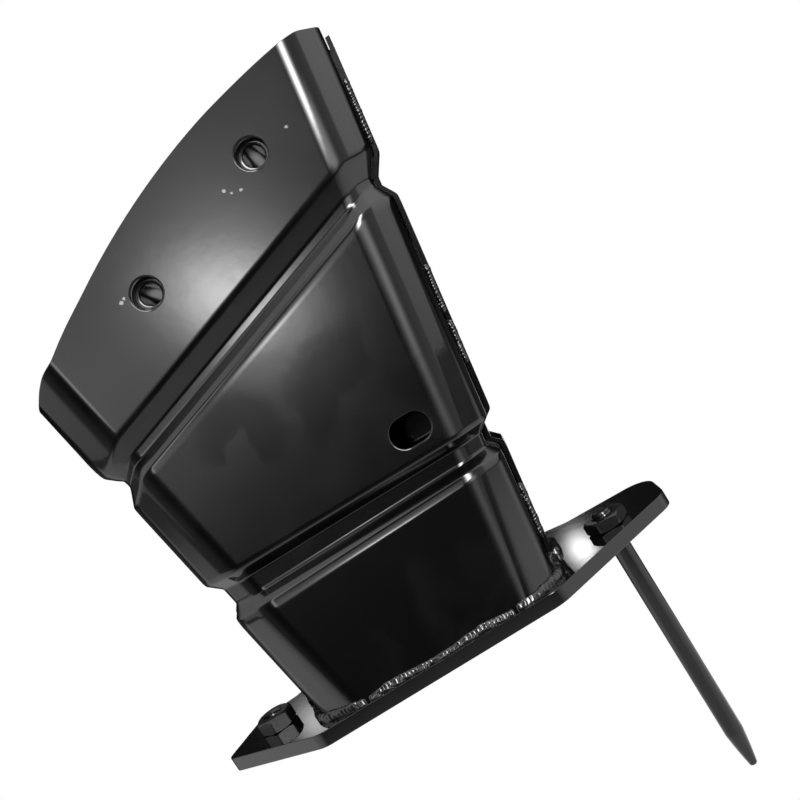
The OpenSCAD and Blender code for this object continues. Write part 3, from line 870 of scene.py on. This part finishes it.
def coating(name, base, rough, coat_rough, peel=1.0, haze=0.5, wear=0.0, turn=0.0, texture=0.0,
            coat=0.9, specular=0.12, wave=1.0, wiped=(), chip_glints=()):
    """Glossy black coating. peel: orange peel; haze: hand smudges; wear: thin worn
    edges; turn: turning marks; wave: slow waviness; wiped, and the painted glint
    spots that also stand for paint chips: (place, radius)."""
    mat = bpy.data.materials.new(name)
    g = Graph(mat)
    coords = g.node("ShaderNodeTexCoord").outputs["Object"]

    # smudges and film variation drive roughness and a faint lift of the black
    smudge = g.ramp(g.noise(coords, scale=26, detail=5, roughness=0.55, distortion=0.6),
                    span=(0.47, 0.66))
    small_smudge = g.ramp(g.noise(coords, scale=70, detail=4, roughness=0.6), span=(0.5, 0.75))
    fine = g.noise(coords, scale=900, detail=3, roughness=0.6)
    roughness = g.math("ADD", g.math("MULTIPLY", smudge, 0.07 * haze), rough)
    roughness = g.math("ADD", roughness, g.math("MULTIPLY", small_smudge, 0.04 * haze))
    fine_part = g.math("MULTIPLY", g.math("SUBTRACT", fine, 0.5), 0.03)
    roughness = g.math("ADD", roughness, fine_part, clamp=True)
    lifted = tuple(c * k + 0.0016 for c, k in zip(base, (2.2, 2.2, 2.15)))
    colour = g.mix(g.math("MULTIPLY", smudge, 0.55 * haze), (*base, 1), (*lifted, 1))

    # worn edges, broken up by noise
    edge = g.ramp(g.node("ShaderNodeNewGeometry").outputs["Pointiness"], span=(0.53, 0.62))
    broken = g.ramp(g.noise(coords, scale=160, detail=4, roughness=0.65), span=(0.52, 0.7))
    edge = g.math("MULTIPLY", g.math("MULTIPLY", edge, broken), wear)
    colour = g.mix(edge, colour, (0.16, 0.16, 0.165, 1))

    if wiped:
        rub = 0.0
        cloud = g.ramp(g.noise(coords, scale=46, detail=2.5, roughness=0.5, distortion=0.25),
                       span=(0.48, 0.53))
        for place, radius in wiped:
            near = g.ramp(g.vector("DISTANCE", coords, place), span=(radius, radius * 0.55))
            rub = g.math("MAXIMUM", g.math("MULTIPLY", cloud, near), rub)
    # painted glints: small lighter grey spots painted into the colour as glints, also standing for
    # chips in the paint
    if chip_glints:
        grain = g.noise(coords, scale=1500, detail=2, roughness=0.6)
        ragged = g.math("MULTIPLY", g.math("SUBTRACT", grain, 0.5), 0.0016)
        spot = 0.0
        for place, radius in chip_glints:
            distance = g.math("ADD", g.vector("DISTANCE", coords, place), ragged)
            chip_glint = g.ramp(distance, span=(radius * 1.15, radius * 0.8))
            spot = g.math("MAXIMUM", chip_glint, spot)
        colour = g.mix(spot, colour, (0.20, 0.20, 0.205, 1))

    height = relief(g, coords, fine, peel, wave, texture, turn)
    bump = g.feed(g.node("ShaderNodeBump"), {"Strength": 1.0, "Distance": 1.0, "Height": height})
    shader = g.feed(g.node("ShaderNodeBsdfPrincipled"), {
        "Base Color": colour, "Roughness": roughness,
        "Normal": bump.outputs[0], "Coat Normal": bump.outputs[0],
        "IOR": 1.5, "Specular IOR Level": specular,
        "Coat Weight": coat, "Coat IOR": 1.45})
    if wiped:
        thinned = g.math("SUBTRACT", coat, g.math("MULTIPLY", rub, 0.5 * coat))
        g.feed(shader, {"Coat Weight": thinned})
    coat_roughness = g.math("ADD", g.math("MULTIPLY", smudge, 0.05 * haze), coat_rough)
    g.feed(shader, {"Coat Roughness": coat_roughness})
    g.feed(g.node("ShaderNodeOutputMaterial"), {0: shader.outputs[0]})
    return mat


def on_face(marks):
    """(x, z, radius) in millimetres on the front face to (place, radius) in metres."""
    return [(tuple(float(v) for v in to_part((x, 0.0, z))), radius * MM) for x, z, radius in marks]


WIPED = on_face([(24, 104, 34), (-22, 112, 22)])
# lighter spots near the holes, painted in as glints and also standing for paint chips
CHIP_GLINTS = on_face([(21.1, 195.4, 0.7), (26.9, 192.3, 0.6), (23.2, 193.2, 0.4),
                 (-34.8, 179.8, 0.8), (-33.2, 180.6, 0.5), (54.3, 203.6, 0.7)])

shell_mat = coating("shell_coating", base=(0.0007, 0.0007, 0.0008), rough=0.18,
                    coat_rough=0.04, haze=0.6, wiped=WIPED, chip_glints=CHIP_GLINTS)
rear_mat = coating("rear_coating", base=(0.0008, 0.0008, 0.0009), rough=0.2, coat_rough=0.06)
plate_mat = coating("plate_coating", base=(0.001, 0.001, 0.0011), rough=0.16,
                    coat_rough=0.03, peel=0.35, haze=0.35, wear=0.4, wave=0.25)
pin_mat = coating("pin_coating", base=(0.0012, 0.0012, 0.0013), rough=0.22,
                  coat_rough=0.06, peel=0.5, haze=0.4, wear=0.3, turn=1.0, coat=0.7)
nut_mat = coating("nut_coating", base=(0.0016, 0.0016, 0.0017), rough=0.4,
                  coat_rough=0.12, peel=0.8, haze=0.6, wear=0.7, coat=0.55, specular=0.2)
sleeve_mat = coating("sleeve_coating", base=(0.012, 0.012, 0.0123), rough=0.35,
                     coat_rough=0.12, peel=0.8, haze=0.7, turn=0.6)
weld_mat = coating("weld_coating", base=(0.002, 0.002, 0.0021), rough=0.22,
                   coat_rough=0.07, wear=0.25, texture=0.5)


# ------------------------------------------------------------------ assembly
def add(ob, node, mat):
    ob.data.materials.clear()
    ob.data.materials.append(mat)
    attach(ob, "root")
    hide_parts(node)


def add_weld(ob, node):
    add(ob, node, weld_mat)


add(shell("front_shell_sheet", rear=False), "front_shell", shell_mat)
add(shell("rear_shell_sheet", rear=True), "rear_shell", rear_mat)
add(base_plate(), "base_plate", plate_mat)
add(guide_pin(), "guide_pin", pin_mat)
for node, ear, nut in (("ear_nut_left", EAR_LEFT, NUT_LEFT),
                       ("ear_nut_right", EAR_RIGHT, NUT_RIGHT)):
    add(hex_nut(node + "_body", ear, **nut), node, nut_mat)
for node, hole in (("sleeve_right", HOLE_RIGHT), ("sleeve_left", HOLE_LEFT)):
    add(sleeve(node + "_body", hole), node, sleeve_mat)
add_weld(front_weld(), "base_weld_front")
for kind, build in (("corner", corner_weld), ("side", side_weld)):
    for side, word in ((LEFT, "left"), (RIGHT, "right")):
        node = f"base_weld_{kind}_{word}"
        add_weld(build(side, node + "_bead"), node)
add_weld(rear_weld(), "base_weld_rear")
add_weld(seam_welds(RIGHT, SEAM_RIGHT, "seam_weld_right_beads"), "seam_weld_right")
add_weld(seam_welds(LEFT, SEAM_LEFT, "seam_weld_left_beads"), "seam_weld_left")

# ------------------------------------------------------------------ camera
# camera coordinates are (right, down, forward)
LENS, SENSOR = 81.6615, 36.0
BOX_FROM_CAMERA = np.array([16.920152, 97.718631, 690.0])        # box origin
BOX_Y_VIEW = np.array([0.049594974, -0.0055105527, 1.0])         # direction of box y
BOX_X_VIEW = np.array([0.8522, -0.5232, 0.0])                    # box x, before squaring to y

view_y = BOX_Y_VIEW / np.linalg.norm(BOX_Y_VIEW)
view_x = BOX_X_VIEW - view_y * (BOX_X_VIEW @ view_y)
view_x /= np.linalg.norm(view_x)
BOX_TO_VIEW = np.stack([view_x, view_y, np.cross(view_x, view_y)], 1)
BOX_TO_PART = np.array([[1, 0, 0], [0, COS_LEAN, SIN_LEAN], [0, -SIN_LEAN, COS_LEAN]])
cam_right, cam_down, cam_forward = (BOX_TO_PART @ row for row in BOX_TO_VIEW)


def add_camera():
    data = bpy.data.cameras.new("camera")
    data.sensor_width = SENSOR
    data.sensor_fit = "HORIZONTAL"
    data.lens = LENS
    data.clip_start, data.clip_end = 0.02, 40
    camera = link_object("camera", data)
    pose = np.eye(4)
    pose[:3, :3] = np.stack([cam_right, -cam_down, -cam_forward], 1)
    pose[:3, 3] = to_part(-BOX_TO_VIEW.T @ BOX_FROM_CAMERA)
    camera.matrix_world = Matrix(pose.tolist())
    bpy.context.scene.camera = camera


add_camera()

# ------------------------------------------------------------------ stage and light
FLOOR_Z, FLOOR_HALF = -0.1135, 6.0                       # metres


def pale_floor():
    """Pale floor; seen directly it is the white sweep, in reflections it is
    dim in front and behind and brighter to the sides, as lit by side panels."""
    mat = bpy.data.materials.new("floor")
    g = Graph(mat)
    seen, reflected = g.node("ShaderNodeEmission"), g.node("ShaderNodeEmission")
    coords = g.node("ShaderNodeTexCoord").outputs["Object"]
    x, y, _ = g.feed(g.node("ShaderNodeSeparateXYZ"), {0: coords}).outputs

    def length(a, b):
        return g.math("SQRT", g.math("ADD", g.math("MULTIPLY", a, a), g.math("MULTIPLY", b, b)))
    abs_x, abs_y = g.math("ABSOLUTE", x), g.math("ABSOLUTE", y)
    radius = length(abs_x, abs_y)
    sideways = g.math("DIVIDE", abs_x, g.math("ADD", radius, 0.02))
    level = g.ramp(sideways, span=(0.45, 0.85), to=(0.12, 1.4))
    # bright under the part, fading far out and behind it
    level = g.math("MAXIMUM", level, g.ramp(radius, span=(0.2, 0.55), to=(0.95, 0.0)))
    level = g.math("MULTIPLY", level, g.ramp(radius, span=(0.9, 2.5), to=(1.0, 0.15)))
    level = g.math("MULTIPLY", level, g.ramp(y, span=(-0.02, 0.25), to=(1.0, 0.06)))
    # a soft pool of light behind the part
    pool_x, pool_y = 0.1, 0.8
    pool = length(g.math("SUBTRACT", x, pool_x), g.math("SUBTRACT", y, pool_y))
    level = g.math("ADD", level, g.ramp(pool, span=(0.1, 0.35), to=(0.5, 0.0)))
    g.feed(reflected, {"Strength": level})
    g.feed(seen, {"Strength": 1.0})
    g.output("ShaderNodeOutputMaterial", reflected.outputs[0], seen.outputs[0])
    return mat


def add_floor():
    bm = bmesh.new()
    bmesh.ops.create_grid(bm, x_segments=8, y_segments=8, size=FLOOR_HALF)
    mesh = bpy.data.meshes.new("floor")
    bm.to_mesh(mesh)
    bm.free()
    floor = bpy.data.objects.new("floor", mesh)
    floor.location = (0, 0, FLOOR_Z)
    mesh.materials.append(pale_floor())
    bpy.context.scene.collection.objects.link(floor)


def plate_mirror(right, down):
    """Direction that the plate's top reflects along a view ray with these slopes."""
    d = BOX_TO_PART @ (BOX_TO_VIEW.T @ np.array([right, down, 1.0]))
    return d / np.linalg.norm(d) * np.array([1, 1, -1])


def studio_world():
    """Studio surround, as soft patches of light by direction. u and v are the slopes
    of a direction to the right and down, seen from the object towards the camera."""
    world = bpy.data.worlds.new("studio")
    bpy.context.scene.world = world
    g = Graph(world)
    direction = g.node("ShaderNodeTexCoord").outputs["Generated"]

    def towards(vector):
        return g.vector("DOT_PRODUCT", direction, vector)

    def times(*values):
        return g.math("MULTIPLY", *values)

    def minus(*values):
        return g.math("SUBTRACT", *values)

    def plus(*values):
        return g.math("ADD", *values)

    right, down, toward = towards(cam_right), towards(cam_down), towards(-cam_forward)
    toward_safe = g.math("MAXIMUM", toward, 0.05)
    # zero of u and v lies about on the front face's outward normal
    u = plus(g.math("DIVIDE", right, toward_safe), 0.0496)
    v = minus(g.math("DIVIDE", down, toward_safe), 0.0055)
    in_front = g.ramp(toward, span=(0.25, 0.45))
    # the same slopes turned to run along the plate and up the face
    turn_cos, turn_sin = 0.852, 0.523
    along = minus(times(u, turn_cos), times(v, turn_sin))
    up = times(plus(times(u, turn_sin), times(v, turn_cos)), -1.0)

    def patch(strength, centre, spread, turn):
        """Soft ellipse at (u, v), turned in radians."""
        cos_t, sin_t = math.cos(turn), math.sin(turn)
        du, dv = minus(u, centre[0]), minus(v, centre[1])
        p = g.math("DIVIDE", plus(times(du, cos_t), times(dv, sin_t)), spread[0])
        q = g.math("DIVIDE", minus(times(dv, cos_t), times(du, sin_t)), spread[1])
        glow = g.math("EXPONENT", times(plus(times(p, p), times(q, q)), -0.5))
        return times(times(glow, strength), in_front)

    def strip(centre, spread, strength, gate):
        """Soft band across the plate direction, let through by gate."""
        p = g.math("DIVIDE", minus(along, centre), spread)
        glow = times(g.math("EXPONENT", times(times(p, p), -0.5)), strength)
        return times(times(glow, gate), in_front)

    def lobe(vector, strength, width):
        """Soft round patch about any direction, width in degrees."""
        sharpness = 1.0 / (1 - math.cos(math.radians(width)))
        off = minus(towards(vector), 1.0)
        return times(g.math("EXPONENT", times(off, sharpness * 0.5)), strength)

    # dark room round the camera, pale side walls, dark behind
    side = times(g.ramp(toward, span=(0.52, 0.34)),
                 g.ramp(toward, span=(-0.6, 0.05), to=(0.02, 1.0)))
    box_z, box_x = towards(BOX_TO_PART[:, 2]), towards(BOX_TO_PART[:, 0])
    side = times(side, g.ramp(box_z, span=(-0.13, 0.10), to=(0.42, 1.0)))
    level = plus(times(side, g.ramp(box_x, span=(-0.6, 0.6), to=(1.2, 1.7))),
                 g.ramp(toward, span=(0.55, 0.85), to=(0.24, 0.035)))
    level = plus(level, times(g.ramp(box_x, span=(0.22, 0.5), to=(0.0, 0.55)),
                              g.ramp(toward, span=(0.2, 0.4))))
    total = times(level, g.ramp(toward, span=(-0.3, -0.8), to=(1.0, 0.04)))
    # key: a soft source left of the camera, as a core and two halos
    for key in (
            dict(strength=14.0, centre=(-0.1476, -0.052), spread=(0.0155, 0.0231), turn=-1.327),
            dict(strength=1.69, centre=(-0.18, -0.0676), spread=(0.1167, 0.0549), turn=-1.28),
            dict(strength=4.91, centre=(-0.1345, -0.0546), spread=(0.0325, 0.0255), turn=1.176)):
        total = plus(total, patch(**key))
    # strip on the right, strongest and narrowest high up
    high, middle = g.ramp(up, span=(0.118, 0.15)), g.ramp(up, span=(-0.09, 0.02), to=(0.3, 1.0))
    total = plus(total, strip(centre=0.33, spread=0.09, strength=38.0, gate=high))
    total = plus(total, strip(centre=0.50, spread=0.15, strength=3.0,
                              gate=times(minus(1.0, high), middle)))
    # weak strip on the left, high up only
    total = plus(total, strip(centre=-0.30, spread=0.05, strength=5.0,
                              gate=g.ramp(up, span=(0.06, 0.09))))
    # two small glints in the plate's top
    total = plus(total, lobe(plate_mirror(right=0.10029206, down=0.082107235),
                             strength=9.0, width=0.30))
    total = plus(total, lobe(plate_mirror(right=-0.045737587, down=0.1774398),
                             strength=2.2, width=0.45))

    white = (1, 1, 1, 1)
    reflected, seen = (g.feed(g.node("ShaderNodeBackground"), {"Strength": s, "Color": white})
                       for s in (total, 1.0))
    g.output("ShaderNodeOutputWorld", reflected.outputs[0], seen.outputs[0])
    world.cycles.sampling_method = "MANUAL"
    world.cycles.sample_map_resolution = 2048


add_floor()
studio_world()

view = bpy.context.scene.view_settings
view.view_transform = "Standard"
view.look = "None"
view.exposure = 0.0
